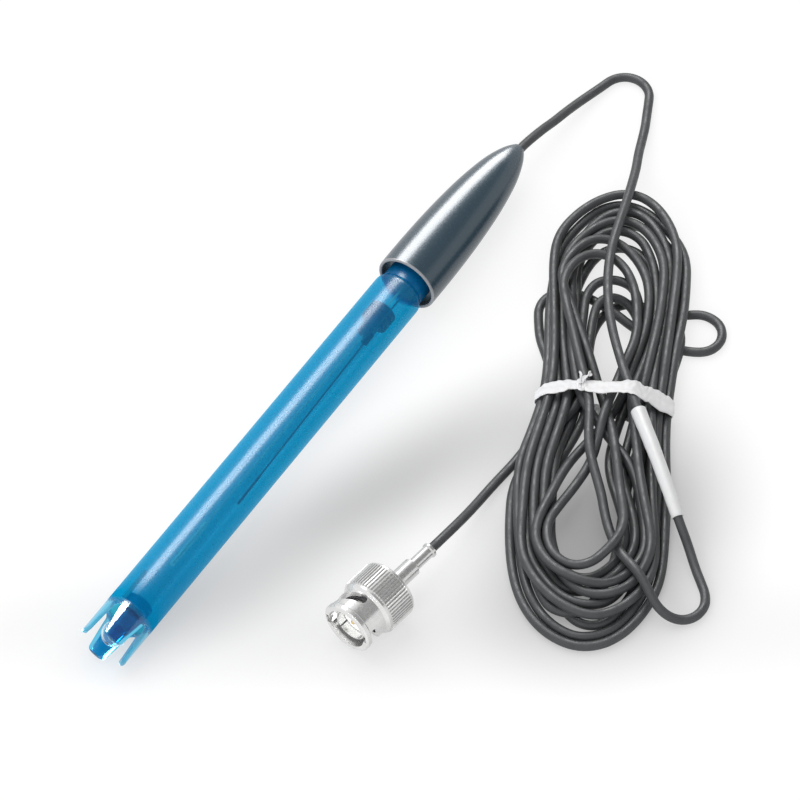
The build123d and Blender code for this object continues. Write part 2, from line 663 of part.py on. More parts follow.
def tie_crossing():
    """Where the lead passes through the plane of the tie, across and up in the hank's own frame."""
    start, end = (point_at(HANK.inverse(), *p) for p in (SLEEVE_FROM, SLEEVE_TO))
    spot = start + (end - start) * (start.X / (start.X - end.X))
    return spot.Y, spot.Z


def waist_side(side):
    """Where the round of the waist's edge has its middle, on the left (1) or on the right (-1)."""
    return WAIST[1] + side * (WAIST[2] - HANK_ROUND)


def tie_rounds(grown):
    """The circles that the tie goes over: those of the waist's edges and the lead on top of it."""
    low = HANK_LIFT + HANK_ROUND
    high = HANK_THICKNESS - HANK_ROUND
    rounds = [(waist_side(side), z, HANK_ROUND + grown) for side in (1, -1) for z in (low, high)]
    return rounds + [(*tie_crossing(), CABLE_R + grown)]


def tie_top(y):
    """Height of the tie's inner face between the left side of the waist and the lead."""
    over_y, over_z = tie_crossing()
    share = (waist_side(1) - y) / (waist_side(1) - over_y)
    return HANK_THICKNESS + (over_z + CABLE_R - HANK_THICKNESS) * share


def twist_tie():
    """The soft strip round the waist, with its twisted tail on top."""
    band = hull_of(tie_rounds(TIE_SLACK + TIE_THICKNESS)) - hull_of(tie_rounds(TIE_SLACK))
    strip = extrude(Plane.YZ * band, TIE_WIDTH / 2, both=True)
    foot = Vector(*TIE_TAIL_AT, tie_top(TIE_TAIL_AT[1]) + TIE_SLACK)
    sections = []
    for k in range(TIE_TAIL_STEPS + 1):
        spot = foot + Vector(*TIE_TAIL_REACH) * (k / TIE_TAIL_STEPS)
        leaf = Rectangle(TIE_TAIL_WIDTH * (1 - TIE_TAIL_TAPER * k), TIE_THICKNESS)
        plane = Plane(origin=spot, z_dir=Vector(*TIE_TAIL_REACH))
        sections.append(plane * Rot(0, 0, TIE_TAIL_TWIST * k) * leaf)
    return HANK * (strip + loft(sections, ruled=True))


def main():
    os.makedirs("parts", exist_ok=True)
    lying = {
        "body_tube": body_tube(),
        "glass_stem": glass_stem(),
        "stem_seal": stem_seal(),
        "reference_junction": reference_junction(),
        "stem_stopper": stem_stopper(),
        "inner_wire": inner_wire(),
        "reference_wire": reference_wire(),
        "wire_bead": wire_bead(),
        "neck_plug": neck_plug(),
        "potting": potting(),
        "cap": cap(),
    }
    connector = {
        "coupling_nut": coupling_nut(),
        "connector_body": connector_body(),
        "outer_contact": outer_contact(),
        "insulator": insulator(),
        "centre_pin": centre_pin(),
        "gasket": gasket(),
        "wave_washer": wave_washer(),
        "thrust_washer": thrust_washer(),
        "retaining_ring": retaining_ring(),
        "crimp_ferrule": crimp_ferrule(),
    }
    nodes = {name: LYING * piece for name, piece in lying.items()}
    nodes.update({name: CONNECTOR * piece for name, piece in connector.items()})
    nodes.update(
        cord_lead=cable(lead_route(), "lead"),
        cord_tail=cable(tail_route(), "tail"),
        cord_hank=cord_hank(),
        marker_sleeve=marker_sleeve(),
        twist_tie=twist_tie(),
    )
    for name, piece in nodes.items():
        export_step(piece, f"parts/{name}.step")


main()
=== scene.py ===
import json
import math
import bpy
import numpy as np
from mathutils import Matrix, Vector, noise


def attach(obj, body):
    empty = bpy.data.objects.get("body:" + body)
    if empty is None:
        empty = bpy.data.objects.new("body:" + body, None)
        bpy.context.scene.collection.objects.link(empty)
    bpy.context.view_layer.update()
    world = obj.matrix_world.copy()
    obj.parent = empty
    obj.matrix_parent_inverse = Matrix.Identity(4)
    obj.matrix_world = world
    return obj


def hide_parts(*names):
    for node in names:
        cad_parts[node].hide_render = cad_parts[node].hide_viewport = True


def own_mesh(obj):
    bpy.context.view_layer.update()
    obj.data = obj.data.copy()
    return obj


# Looks of a pH electrode with its hanked cable and bayonet plug, in metres in the frame's own axes.
# The electrode lies along +X, its crown at -X, the hank of cable towards -Y.

MM = 0.001
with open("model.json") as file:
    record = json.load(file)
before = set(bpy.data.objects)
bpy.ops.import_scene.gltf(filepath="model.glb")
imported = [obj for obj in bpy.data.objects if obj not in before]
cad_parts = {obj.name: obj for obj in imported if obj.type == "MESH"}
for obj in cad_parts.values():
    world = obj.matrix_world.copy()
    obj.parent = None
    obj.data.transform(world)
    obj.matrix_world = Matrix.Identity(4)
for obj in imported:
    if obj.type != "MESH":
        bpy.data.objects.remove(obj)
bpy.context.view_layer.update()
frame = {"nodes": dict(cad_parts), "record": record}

# The photograph's camera: its place is given by two angles and a distance from a point on the floor
CAMERA_AZIMUTH = math.radians(-56.627)
CAMERA_ELEVATION = math.radians(52.56)
CAMERA_TARGET = Vector((0.01211, -0.01412, 0.0))
CAMERA_DISTANCE = 1.2
CAMERA_FOCAL_PIXELS = 5285.7
FRAME_PIXELS = 800
SENSOR_MM = 36.0

# Cable
CORD_R = 0.0011

# The cable's route from inside the cap, round an arch and over the hank to the bow at its foot
LEAD = (
    (0.07200, 0.00000, 0.00795), (0.08300, 0.00000, 0.0081), (0.09300, -0.00050, 0.0061), (0.09780, -0.00080, 0.0045),
    (0.10350, -0.00116, 0.0033), (0.10987, -0.00200, 0.0021), (0.11560, -0.00318, 0.0014), (0.11965, -0.00395, 0.0011),
    (0.12222, -0.00665, 0.0011), (0.12262, -0.01035, 0.0011), (0.12076, -0.01357, 0.0011), (0.11740, -0.01522, 0.0011),
    (0.11400, -0.01685, 0.0012), (0.11050, -0.01855, 0.0015), (0.10626, -0.02028, 0.0021), (0.10140, -0.02225, 0.0031),
    (0.09620, -0.02480, 0.0044), (0.08662, -0.02846, 0.0066), (0.07695, -0.03170, 0.0080), (0.06896, -0.03449, 0.0086),
    (0.06013, -0.03919, 0.0089), (0.05122, -0.04555, 0.0091), (0.04201, -0.05449, 0.0094), (0.03348, -0.06377, 0.0094),
    (0.02585, -0.07327, 0.0084), (0.01803, -0.08264, 0.0062), (0.01486, -0.08648, 0.0048), (0.01163, -0.09090, 0.0028),
    (0.00796, -0.09503, 0.0015),
)
# The route from the hank up to the plug's ferrule
TAIL = (
    (0.0124, -0.0460, 0.0011), (0.0031, -0.0453, 0.0013), (-0.0071, -0.0459, 0.0037),
    (-0.01670, -0.04647, 0.00715), (-0.03098, -0.04459, 0.00715),
)

# Hank: where its tie is and which way it lies; the places below are in millimetres along and across from the tie
HANK_AT = Vector((0.0354, -0.0540, 0.0))
HANK_YAW = math.radians(28.7)
# The bow at the foot of the lead: along, across and up
BOW = ((-47.6, -24.4, 1.1), (-50.6, -25.5, 1.1), (-53.9, -25.5, 1.1), (-56.8, -23.6, 1.1), (-58.0, -20.6, 1.1))
# The strand from the bow up to the tie, over the turns but under the first of them at its foot: along, across and the
# turn that it lies at, counted from the top
FIRST = (
    (-57.2, -17.6, 12.0), (-55.2, -14.9, 8.0), (-52.8, -12.7, 4.0), (-50.1, -10.2, 1.6), (-46.9, -8.1, 1.6),
    (-43.9, -6.1, 1.6), (-38.9, -3.9, 0.9), (-33.5, -1.9, 0.0), (-27.5, -0.6, 0.0), (-21.4, 0.9, 0.0),
    (-14.2, 2.4, 0.0), (-7.0, 3.0, 0.0),
)
# Turns from the top of the pile down. Each goes up from the tie, round its upper end and back through the tie, then
# down, round its lower end and back up. Its numbers are places across on that way, in the order that turn_places names
# them, but the fourth and the eleventh are how far its two ends reach along.
TURNS = (
    (3.6, 7.6, 11.4, 40.2, 2.8, -6.6, -7.4, -3.4, 0.6, 12.2, 50.4, 6.2, -6.8, -2.6),
    (2.2, 8.0, 12.6, 44.9, 1.8, -8.6, -9.0, -5.4, 8.0, 14.6, 53.0, -0.6, -12.6, -7.6),
    (5.4, 8.6, 9.6, 50.4, -0.4, -10.2, -10.0, -6.6, -8.6, -13.8, 55.4, -2.2, 12.6, 12.6),
    (7.4, 10.2, 11.4, 52.2, -1.6, -12.0, -11.4, -8.4, -5.0, -10.6, 53.0, 2.6, 13.8, 13.4),
    (9.2, 10.8, 9.8, 56.2, -2.2, -13.4, -12.6, -9.8, -10.8, -13.2, 60.4, -1.0, 14.6, 15.8),
    (11.0, 12.6, 13.2, 60.9, -2.2, -14.6, -13.8, -11.2, -12.4, -11.6, 64.4, 2.2, 15.2, 17.0),
    (12.6, 13.4, 12.6, 59.4, -1.0, -15.2, -14.8, -12.6, -13.4, -13.4, 65.8, 0.6, 15.8, 17.8),
    (4.4, 6.0, 6.0, 36.0, 0.4, -7.4, -7.0, -4.6, -2.4, -9.0, 50.2, 2.0, 11.2, 10.6),
    (6.4, 7.4, 8.4, 53.4, -3.6, -17.0, -14.6, -10.6, -8.8, -12.4, 57.6, 1.6, 13.4, 15.2),
    (10.0, 9.4, 10.6, 46.8, -1.2, -11.0, -17.4, -12.4, -6.8, -4.6, 59.4, 4.6, 14.6, 14.4),
    (8.2, 5.6, 3.6, 31.4, -1.6, -8.6, -8.6, -7.6, -11.4, -11.0, 62.6, -3.2, 11.6, 11.6),
)
# The last strands at the bottom of the pile: an inner bow, the small loop at the side, and out at the other side
LAST = (
    (0, 5.6), (9, 6.0), (17.3, 6.0), (21.4, 5.0), (25.6, 3.6), (28.8, 1.0), (30.6, -3.8), (29.4, -8.4), (27.8, -12.0),
    (28.0, -15.5), (28.8, -19.5), (27.8, -23.2), (25.0, -26.0), (21.0, -26.8), (17.6, -25.0), (16.2, -21.5),
    (16.2, -17.5), (17.0, -13.5), (19.0, -9.0), (23.0, -3.5), (27.5, 1.5), (30.8, 6.5), (32.0, 11.0), (30.8, 14.6),
    (27.4, 16.7), (22.6, 16.5), (17.5, 15.0), (12.5, 13.2), (6.0, 12.6), (-1.0, 13.4), (-8.6, 14.6),
)
UPPER_NEAR, LOWER_NEAR = 0.4, 0.36  # shares of the reach of a turn's ends where its places near the tie are
FAR = 0.75  # share of that reach where its places far from the tie are
TURN_LIFT = 0.0006  # height between two turns before they settle
LOWEST_TURN = 3.5  # how many such heights the lowest of the turns starts above the floor
STRAY = 0.0014  # how far a strand strays from its plan
STRAY_STEP = 0.55  # step through the noise from one place to the next

# How the pile settles
LINK = 0.0045  # spacing of the points that settle
LEAST_BEND = 0.0062  # radius of their tightest bend
EASE = 0.1  # share of a tighter bend that is taken out at once
FIRST_EASES = 40
TIE_LIFT, TIE_LIFT_REACH = 0.0003, 0.008  # how far the tie under the hank lifts it, and how far along
ROUNDS = 500
SINKING = 0.9  # share of the rounds in which the pile sinks
FALL = 0.1 * MM  # how far it sinks in one
HOLD = 0.03  # share of the way back to its plan that a point goes in a round
STRAIGHTEN = 0.5  # share of its kink, beyond that of the plan, that a point loses in a round
TOUCHING = 2 * CORD_R + 0.03 * MM
WATCHED, WATCH_ROUNDS = 5.5 * MM, 8  # links whose middles are this near to touching are watched for so many rounds
SKIP = 7  # links nearer than this along the cable aren't pushed apart
PUSHES = 2  # in each round
PUSH, PUSH_GAIN = 0.45, 1.5  # share of an overlap that each strand gives way, and by how much that is overdone

# Sleeve on the lead
SLEEVE_START, SLEEVE_LENGTH = 0.1627, 0.0283
SLEEVE_RADII = (0.00178, 0.00142)
SLEEVE_GAP = 0.03 * MM  # between the cable and the sleeve
SLEEVE_LIPS = (0.12 * MM, 0.1 * MM)  # bevels of its two outer edges
SLEEVE_STEPS, SLEEVE_SIDES = 40, 32
PROBE = 0.3 * MM  # how far ahead along the cable its direction is taken

# Tie round the hank
TIE_WIDTH = 0.0034
TIE_THICK = 0.0002
TIE_ALONG, TIE_REACH = -0.9 * MM, 2.6 * MM  # it is drawn over the strands from this place along, this far both ways
TIE_STEPS = 320
# Where it runs: places across, and how far along the hank it is at each
TIE_ACROSS = (-15.5 * MM, -9 * MM, 0, 8 * MM, 15 * MM)
TIE_SHIFTS = (-1.2 * MM, -1.6 * MM, -1.2 * MM, 0.4 * MM, -0.6 * MM)
TOP_FROM, TOP_REACH = 2 * MM, 3 * MM  # height where its upper side starts, and over how much height it gets there
TIE_STAND = 0.12 * MM  # how loose it lies on top
FOLD_ACROSS, FOLD_REACH = -12.5 * MM, 3.2 * MM  # where it is folded wide, and how far that reaches
KNOT_ACROSS, WAIST_REACH = 5.2 * MM, 2.0 * MM  # where it is knotted and drawn in, and how far that reaches
KNOT_LIFT, KNOT_WIDTH, KNOT_STEPS = 0.25 * MM, 1.1 * MM, 25
KNOT_RADII = (1.25 * MM, 0.75 * MM)  # along and across
# Its twisted ends: how far each reaches along and bows across, its width, spin and lean
TIE_ENDS = (
    (2.6 * MM, -1.9 * MM, 1.5 * MM, 2.2, 0.5),
    (2.3 * MM, 0.9 * MM, 0.7 * MM, 3.6, 0.8),
    (1.9 * MM, -0.3 * MM, 1.6 * MM, -2.0, 0.2),
)
END_STEPS = 14
BAND_CREASES, END_CREASES, KNOT_CREASES = 0.2 * MM, 0.1 * MM, 0.12 * MM
STRIP_POINTS = 12  # across each side of the strip
CREASE_GRAIN = 420  # of the noise that creases it, per metre


# Camera


def make_camera():
    back = Vector((
        math.sin(CAMERA_AZIMUTH) * math.cos(CAMERA_ELEVATION),
        -math.cos(CAMERA_AZIMUTH) * math.cos(CAMERA_ELEVATION),
        math.sin(CAMERA_ELEVATION),
    ))
    data = bpy.data.cameras.new("camera")
    data.sensor_width = SENSOR_MM
    data.lens = CAMERA_FOCAL_PIXELS * SENSOR_MM / FRAME_PIXELS
    data.clip_start = 0.01
    data.clip_end = 20.0
    camera = bpy.data.objects.new("camera", data)
    bpy.context.collection.objects.link(camera)
    camera.location = CAMERA_TARGET + back * CAMERA_DISTANCE
    camera.rotation_euler = (-back).to_track_quat("-Z", "Y").to_euler()
    bpy.context.scene.camera = camera


make_camera()
bpy.context.scene.view_settings.view_transform = "Standard"


# Cable


def on_hank(points):
    """Points given along, across and up from the hank's tie, in the frame's axes."""
    turn = Matrix.Rotation(HANK_YAW, 3, "Z")
    return [HANK_AT + turn @ Vector(p) for p in points]


def from_hank(points):
    """Points of the frame along, across and up from the hank's tie."""
    turn = Matrix.Rotation(-HANK_YAW, 3, "Z")
    return np.array([turn @ (Vector(p) - HANK_AT) for p in points])


def half_turn(side, start, near, far, end, end_at, back_far, back_near, share, stop):
    """Places out from the tie on one side of a turn, round its end and back."""
    places = [(0.5 * share, (start + near) / 2), (share, near), ((share + FAR) / 2, (near + far) / 2), (FAR, far)]
    for along, across, edge in (
        (0.88, 0.74, far), (0.97, 0.42, far), (1.01, 0, far), (0.97, 0.42, back_far), (0.88, 0.74, back_far),
    ):
        places.append((along, end_at + across * (edge - end_at)))
    places += [(FAR, back_far), ((share + FAR) / 2, (back_near + back_far) / 2), (share, back_near)]
    places.append((0.5 * share, (stop + back_near) / 2))
    return [(side * end * along, across) for along, across in places]


def turn_places():
    """Places along the whole pile, the height of each worked out from the turn that it belongs to."""
    places = [(along, across) for along, across, _ in FIRST]
    levels = [level for _, _, level in FIRST]
    for k, (up, left, left_far, top, top_at, right_far, right, down, low, low_far, bottom, bottom_at, far, near) in (
        enumerate(TURNS)
    ):
        next_up = TURNS[k + 1][0] if k + 1 < len(TURNS) else LAST[0][1]
        turn = [
            (0, up), *half_turn(1, up, left, left_far, top, top_at, right_far, right, UPPER_NEAR, down),
            (0, down), *half_turn(-1, down, low, low_far, bottom, bottom_at, far, near, LOWER_NEAR, next_up),
        ]
        places += turn
        levels += [k + 1] * len(turn)
    places += LAST
    levels += [len(TURNS) + 1] * len(LAST)
    heights = (len(TURNS) + LOWEST_TURN - np.array(levels)) * TURN_LIFT
    stray = [noise.noise((STRAY_STEP * k, 3.7, 0)) for k in range(len(places))]
    return np.column_stack([np.array(places) * MM, heights]) + np.outer(stray, (0, STRAY, 0))


def smooth_line(control, steps=8):
    """The quadratic spline of some control points, as points along it."""
    control = np.asarray(control, float)
    mids = (control[:-1] + control[1:]) / 2
    mids[0], mids[-1] = control[0], control[-1]
    share = np.linspace(0, 1, steps, endpoint=False)[:, None]
    spans = [
        (1 - share) ** 2 * mids[k] + 2 * share * (1 - share) * control[k + 1] + share**2 * mids[k + 1]
        for k in range(len(control) - 2)
    ]
    return np.vstack(spans + [control[-1:]])


def distances(points):
    """How far along a line each of its points is."""
    return np.concatenate([[0], np.cumsum(np.linalg.norm(np.diff(points, axis=0), axis=1))])


def at_distance(wanted, along, points):
    """The places at one or more distances along a line whose points are at the distances in along."""
    return np.stack([np.interp(wanted, along, points[:, axis]) for axis in range(points.shape[1])], axis=-1)


def evenly(points, spacing):
    """Points at even distances along a line of points."""
    along = distances(points)
    return at_distance(np.linspace(0, along[-1], int(round(along[-1] / spacing)) + 1), along, points)


def nearest(a, b, c, d):
    """Shares along the segments a-b and c-d of the points where they come nearest."""
    first, second, apart = b - a, d - c, a - c
    aa = (first * first).sum(1)
    bb = (second * second).sum(1)
    ab = (first * second).sum(1)
    ap = (first * apart).sum(1)
    bp = (second * apart).sum(1)
    cross = aa * bb - ab * ab
    safe = np.where(cross > 1e-18, cross, 1.0)
    share = np.where(cross > 1e-18, np.clip((ab * bp - ap * bb) / safe, 0, 1), 0.5)
    other = (ab * share + bp) / bb
    held = np.clip(other, 0, 1)
    return np.where(other != held, np.clip((ab * held - ap) / aa, 0, 1), share), held


def ease(line, loose):
    """Rounds off the bends of a line that are tighter than the cable's least bend."""
    before, here, after = line[:-2], line[1:-1], line[2:]
    sides = [np.linalg.norm(a - b, axis=1) for a, b in ((here, before), (after, here), (after, before))]
    area = np.linalg.norm(np.cross(here - before, after - before), axis=1) / 2
    tight = sides[0] * sides[1] * sides[2] < 4 * area * LEAST_BEND
    pull = ((before + after) / 2 - here) * (EASE * tight)[:, None]
    shift = np.zeros_like(line)
    shift[1:-1] += pull
    shift[:-2] -= pull / 2
    shift[2:] -= pull / 2
    line += shift * loose[:, None]


def settle(line, loose):
    """Lets the loose points of a line sink onto the floor and onto each other, keeping their plan."""
    lowest = CORD_R + TIE_LIFT * np.exp(-((from_hank(line)[:, 0] / TIE_LIFT_REACH) ** 2))
    for _ in range(FIRST_EASES):
        ease(line, loose)
    plan = line.copy()
    for step in range(ROUNDS):
        ease(line, loose)
        if step < SINKING * ROUNDS:
            line[:, 2] -= FALL * loose
        moved = line - plan
        moved[:, 2] = line[:, 2]
        bend = np.zeros_like(line)
        bend[1:-1] = (moved[:-2] + moved[2:]) / 2 - moved[1:-1]
        line += bend * (STRAIGHTEN * loose)[:, None]
        line[:, :2] += HOLD * (plan[:, :2] - line[:, :2]) * loose[:, None]
        if step % WATCH_ROUNDS == 0:
            mids = (line[:-1] + line[1:]) / 2
            near = np.linalg.norm(mids[:, None] - mids[None], axis=2) < TOUCHING + WATCHED
            i_all, j_all = np.where(np.triu(near, SKIP))
        for _ in range(PUSHES):
            i, j = i_all, j_all
            s, t = nearest(line[i], line[i + 1], line[j], line[j + 1])
            gap = line[i] * (1 - s)[:, None] + line[i + 1] * s[:, None]
            gap -= line[j] * (1 - t)[:, None] + line[j + 1] * t[:, None]
            length = np.linalg.norm(gap, axis=1)
            hit = length < TOUCHING
            i, j, s, t, gap, length = i[hit], j[hit], s[hit], t[hit], gap[hit], length[hit]
            push = gap / np.maximum(length, 1e-9)[:, None] * ((TOUCHING - length) * PUSH)[:, None]
            shift = np.zeros_like(line)
            count = np.zeros(len(line))
            for where, sign, weight in ((i, 1, 1 - s), (i + 1, 1, s), (j, -1, 1 - t), (j + 1, -1, t)):
                np.add.at(shift, where, sign * push * weight[:, None])
                np.add.at(count, where, weight)
            line += shift / np.maximum(count, 1.0)[:, None] * PUSH_GAIN * loose[:, None]
        line[:, 2] = np.where(loose > 0, np.maximum(line[:, 2], lowest), line[:, 2])
    return line


def hank_points(lead):
    """Control points of the folded turns, settled between the two free stretches."""
    before, turns, after = (evenly(smooth_line(run), LINK) for run in (lead, on_hank(turn_places()), TAIL))
    line = np.vstack([before, turns, after])
    loose = np.concatenate([np.zeros(len(before)), np.ones(len(turns)), np.zeros(len(after))])
    return settle(line, loose)[len(before) : len(before) + len(turns)]


def make_cable():
    lead = [*LEAD, *on_hank(np.array(BOW) * MM)]
    points = [*lead, *hank_points(lead), *TAIL]
    data = bpy.data.curves.new("cable", "CURVE")
    data.dimensions = "3D"
    data.resolution_u = 5
    data.bevel_depth = CORD_R
    data.bevel_resolution = 4
    data.use_fill_caps = True
    spline = data.splines.new("NURBS")
    spline.points.add(len(points) - 1)
    for point, place in zip(spline.points, points):
        point.co = (*place, 1.0)
    spline.order_u = 3
    spline.use_endpoint_u = True
    cable = bpy.data.objects.new("cable", data)
    bpy.context.collection.objects.link(cable)
    return cable


def centreline(curve):
    """The points of a curve's own line."""
    bare = curve.copy()
    bare.data = curve.data.copy()
    bare.data.bevel_depth = 0
    bpy.context.collection.objects.link(bare)
    bpy.context.view_layer.update()
    mesh = bpy.data.meshes.new_from_object(bare.evaluated_get(bpy.context.evaluated_depsgraph_get()))
    points = [vertex.co.copy() for vertex in mesh.vertices]
    bpy.data.objects.remove(bare)
    return points


cable = make_cable()
cable_line = centreline(cable)


# Sleeve and tie


def mesh_piece(name, places, faces, smooth=True):
    mesh = bpy.data.meshes.new(name)
    mesh.from_pydata([tuple(p) for p in places], [], faces)
    mesh.validate()
    mesh.polygons.foreach_set("use_smooth", [smooth] * len(mesh.polygons))
    piece = bpy.data.objects.new(name, mesh)
    bpy.context.collection.objects.link(piece)
    return piece


def rings_mesh(name, rings, closed=False):
    """A skin over rings of equally many points; a closed run of rings joins its end to its start."""
    count = len(rings[0])
    faces = []
    for k in range(len(rings) if closed else len(rings) - 1):
        a, b = k * count, (k + 1) % len(rings) * count
        faces += [(a + i, a + (i + 1) % count, b + (i + 1) % count, b + i) for i in range(count)]
    if not closed:
        faces += [tuple(range(count - 1, -1, -1)), tuple((len(rings) - 1) * count + i for i in range(count))]
    return mesh_piece(name, [p for ring in rings for p in ring], faces)


def make_sleeve():
    """The shrunk sleeve: an open tube that follows the cable's own line."""
    line = np.array(cable_line)
    along = distances(line)
    inner = CORD_R + SLEEVE_GAP
    (front, rear), (front_lip, rear_lip) = SLEEVE_RADII, SLEEVE_LIPS
    profile = [(0.0, inner), (0.0, front - front_lip), (front_lip, front)]
    for k in range(1, SLEEVE_STEPS):
        share = k / SLEEVE_STEPS
        wave = 0.02 * MM * math.sin(23 * share) + 0.015 * MM * math.sin(61 * share)
        profile.append((share * SLEEVE_LENGTH, front + share * (rear - front) + wave))
    profile += [
        (SLEEVE_LENGTH - rear_lip, rear), (SLEEVE_LENGTH, rear - rear_lip), (SLEEVE_LENGTH, inner),
        (SLEEVE_LENGTH / 2, inner),
    ]
    rings = []
    for at, radius in profile:
        here = SLEEVE_START + at
        middle, ahead = at_distance(here, along, line), at_distance(here + PROBE, along, line)
        forward = Vector(ahead - middle).normalized()
        side = forward.cross(Vector((0, 0, 1))).normalized()
        up = side.cross(forward)
        rings.append([
            Vector(middle) + radius * (math.cos(angle) * side + math.sin(angle) * up)
            for angle in np.linspace(0, 2 * math.pi, SLEEVE_SIDES, endpoint=False)
        ])
    return rings_mesh("marker_sleeve_shrunk", rings, closed=True)


def tie_ring():
    """The tie's path across and up round the strands at the tie, drawn tight over them."""
    local = from_hank(cable_line)
    strands = local[np.abs(local[:, 0] - TIE_ALONG) < TIE_REACH][:, 1:]
    angles = np.linspace(0, 2 * math.pi, 24, endpoint=False)
    circle = np.column_stack([np.cos(angles), np.sin(angles)]) * (CORD_R + TIE_THICK)
    outline = np.vstack([strand + circle for strand in strands])
    outline[:, 1] = np.maximum(outline[:, 1], TIE_THICK * 0.6)
    points = sorted({(round(float(across), 7), round(float(up), 7)) for across, up in outline})

    def half(run):
        """One half of the convex hull of sorted points, without its last point."""
        kept = []
        for p in run:
            while len(kept) > 1 and (
                (kept[-1][0] - kept[-2][0]) * (p[1] - kept[-2][1]) <= (kept[-1][1] - kept[-2][1]) * (p[0] - kept[-2][0])
            ):
                kept.pop()
            kept.append(p)
        return kept[:-1]

    hull = np.array(half(points) + half(points[::-1]))
    loop = np.vstack([hull, hull[:1]])
    along = distances(loop)
    return at_distance(np.linspace(0, along[-1], TIE_STEPS, endpoint=False), along, loop)


def tie_shift(across):
    """How far along the hank the tie runs at each place across it."""
    return float(np.interp(across, TIE_ACROSS, TIE_SHIFTS))


def strip_rings(path, outward, width, folds):
    """Cross-sections of a crinkled strip.

    Its path is given along, across and up, and its outward side and width at each place of that."""
    rings = []
    for k, (place, out, wide) in enumerate(zip(path, outward, width)):
        ahead = path[(k + 1) % len(path)] - path[k - 1]
        side = np.cross(ahead, out)
        side = side / max(np.linalg.norm(side), 1e-9)
        seed = Vector(place) * CREASE_GRAIN
        half = out * TIE_THICK / 2
        skin = []
        for i in range(STRIP_POINTS):
            across = 2 * i / (STRIP_POINTS - 1) - 1
            wave = math.sin(5.5 * across + 7 * noise.noise(seed))
            fine = noise.noise(seed * 2.2 + Vector((across, 3, 5)))
            crease = folds * (0.5 * wave + 0.8 * fine)
            sag = -0.35 * abs(across) ** 3 * folds
            rim = 1 + 0.16 * noise.noise(seed * 1.7 + Vector((9 * math.copysign(1, across), 0, 0)))
            skin.append(place + side * across * wide / 2 * rim + out * (crease + sag))
        ring = np.array([*(p + half for p in skin), *(p - half for p in reversed(skin))])
        ring[:, 2] = np.maximum(ring[:, 2], 0.01 * MM)
        rings.append(ring)
    return rings


def make_tie():
    """The crinkled strip round the hank, folded at one side, with a knot and twisted ends at the other."""
    ring = tie_ring()
    path, outward, width = [], [], []
    for k, place in enumerate(ring):
        run = ring[(k + 2) % len(ring)] - ring[k - 2]
        out = np.array([0, run[1], -run[0]]) / np.linalg.norm(run)
        above = min(max((place[1] - TOP_FROM) / TOP_REACH, 0), 1)
        path.append(np.array([tie_shift(place[0]), *place]) + out * TIE_STAND * above)
        outward.append(out)
        swell = math.exp(-(((place[0] - FOLD_ACROSS) / FOLD_REACH) ** 2)) * above
        waist = math.exp(-(((place[0] - KNOT_ACROSS) / WAIST_REACH) ** 2)) * above
        taper = 0.010 * place[0] / MM * above
        width.append(TIE_WIDTH * (0.96 + 0.5 * swell - 0.2 * waist - taper + 0.12 * math.sin(place[0] * 700)))
    pieces = [rings_mesh("tie_band", strip_rings(path, outward, width, BAND_CREASES), closed=True)]

    top = max(place[1] for place in ring if abs(place[0] - KNOT_ACROSS) < 1 * MM)
    root = np.array([tie_shift(KNOT_ACROSS), KNOT_ACROSS, top + KNOT_LIFT])
    for n, (reach, bow, wide, spin, lean) in enumerate(TIE_ENDS):
        path, outward, width = [], [], []
        for k in range(END_STEPS + 1):
            share = k / END_STEPS
            path.append(root + np.array([
                reach * share,
                bow * share**1.4 + 0.3 * MM * math.sin(5 * share + n),
                lean * reach * math.sin(math.pi * 0.6 * share),
            ]))
            angle = spin * share + n
            outward.append(np.array([-0.3 * math.sin(angle), math.sin(angle), math.cos(angle)]))
            width.append(wide * (0.55 + 0.8 * share - 0.75 * share**4))
        pieces.append(rings_mesh(f"tie_end_{n}", strip_rings(path, outward, width, END_CREASES)[1:-1]))
    path, outward, width = [], [], []
    for k in range(KNOT_STEPS):
        angle = 2 * math.pi * k / KNOT_STEPS
        path.append(root + np.array([
            KNOT_RADII[0] * math.cos(angle), KNOT_RADII[1] * math.sin(angle), 0.1 * MM * math.sin(3 * angle),
        ]))
        outward.append(np.array([0.2 * math.cos(k), 0.2 * math.sin(k), 1.0]))
        width.append(KNOT_WIDTH)
    pieces.append(rings_mesh("tie_knot", strip_rings(path, outward, width, KNOT_CREASES), closed=True))
    for piece in pieces:
        piece.data.transform(Matrix.Translation(HANK_AT) @ Matrix.Rotation(HANK_YAW, 4, "Z"))
    return pieces


sleeve = make_sleeve()
tie_pieces = make_tie()


# Materials

NOISE_LOW, NOISE_HIGH = 0.3, 0.7  # between them lies nearly all of a noise
BUMP_GRAIN = 2500.0
# The electrode's axis as it lies, and places along X: where its crown and its neck start, and the cap's rim
AXIS_SLOPE, AXIS_HEIGHT = 0.0125, 0.00705
CROWN_FROM, NECK_FROM, RIM_AT = -0.0740, 0.0335, 0.0363
CROWN_FADE, NECK_FADE, RIM_FADE = 1.5 * MM, 0.3 * MM, 0.2 * MM  # how soon the looks change there
SKIN_FADE = 0.1 * MM  # and at the inner side of the outer skin
SHINE_FROM, SHINE_TO = CROWN_FROM + 2 * MM, CROWN_FROM + 8 * MM  # between them the shine comes up
CROWN_SHINE, CROWN_ROUGH = 0.12, 0.03
UNSEEN = 0.97  # share of the light that goes straight through a skin that is all but unseen
IN_SHADOW = (0.6, 0.6, 0.6)  # what a skin lets through to its shadow


